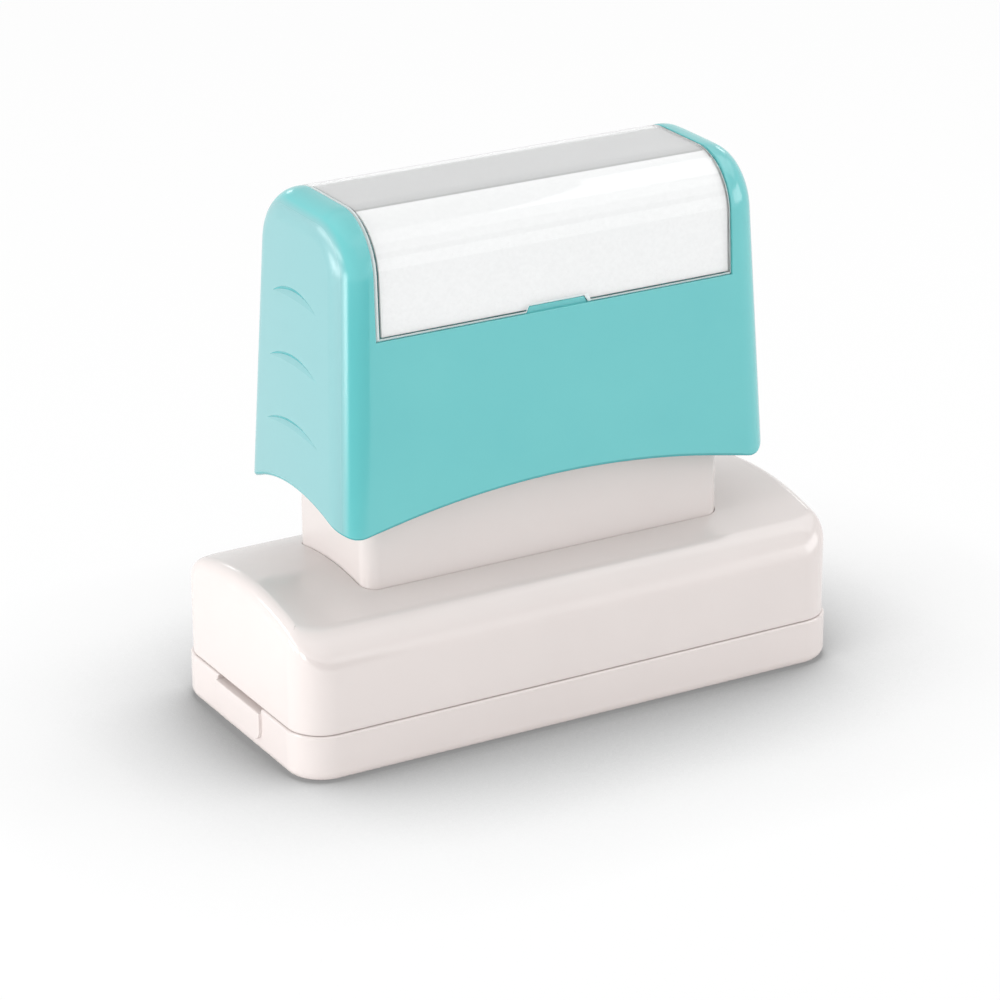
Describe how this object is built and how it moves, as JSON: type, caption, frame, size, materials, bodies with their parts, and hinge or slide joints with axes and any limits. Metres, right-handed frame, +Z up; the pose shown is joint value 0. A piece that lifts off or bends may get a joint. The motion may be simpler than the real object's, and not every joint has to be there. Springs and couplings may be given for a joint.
{
  "type": "pre-inked hand stamp",
  "caption": "Pre-inked hand stamp: a sprung press handle with a clear card window slides on a neck and pushes a printing die out of a crowned housing closed by a dust cap.",
  "frame": {"origin": "centre of the dust cap's underside, on the table", "axes": "+X along the stamp, -Y to the front with the pry notch, +Z up"},
  "size_m": [0.087, 0.039, 0.0756],
  "materials": {
    "teal_plastic": "gloss moulded",
    "cream_plastic": "gloss moulded",
    "clear_plastic": "clear moulded",
    "card": "coated card",
    "steel": "bright wire",
    "inner_plastic": "moulded",
    "ink_felt": "felt with ink",
    "die_foam": "porous foam"
  },
  "bodies": {
    "base": {"base_housing": "cream_plastic", "neck_sleeve": "cream_plastic", "sleeve_screws": "steel", "spring_left": "steel", "spring_right": "steel"},
    "handle": {"handle_shell": "teal_plastic", "plunger": "inner_plastic", "plunger_screws": "steel", "die_tray": "inner_plastic", "ink_reservoir": "ink_felt", "print_die": "die_foam", "die_frame": "inner_plastic", "index_card": "card"},
    "window": {"window_cover": "clear_plastic"},
    "cap": {"dust_cap": "cream_plastic"}
  },
  "joints": [
    {"name": "handle_press", "type": "slide", "parent": "base", "child": "handle", "axis": [0, 0, -1], "range_m": [0, 0.006], "stiffness_N_per_m": 1200, "springref_m": -0.004, "deforming": ["spring_left", "spring_right"]},
    {"name": "cap_pull", "type": "slide", "parent": "base", "child": "cap", "axis": [0, 0, -1], "range_m": [0, 0.02]},
    {"name": "window_lift", "type": "slide", "parent": "handle", "child": "window", "axis": [0, 0, 1], "range_m": [0, 0.02]}
  ]
}
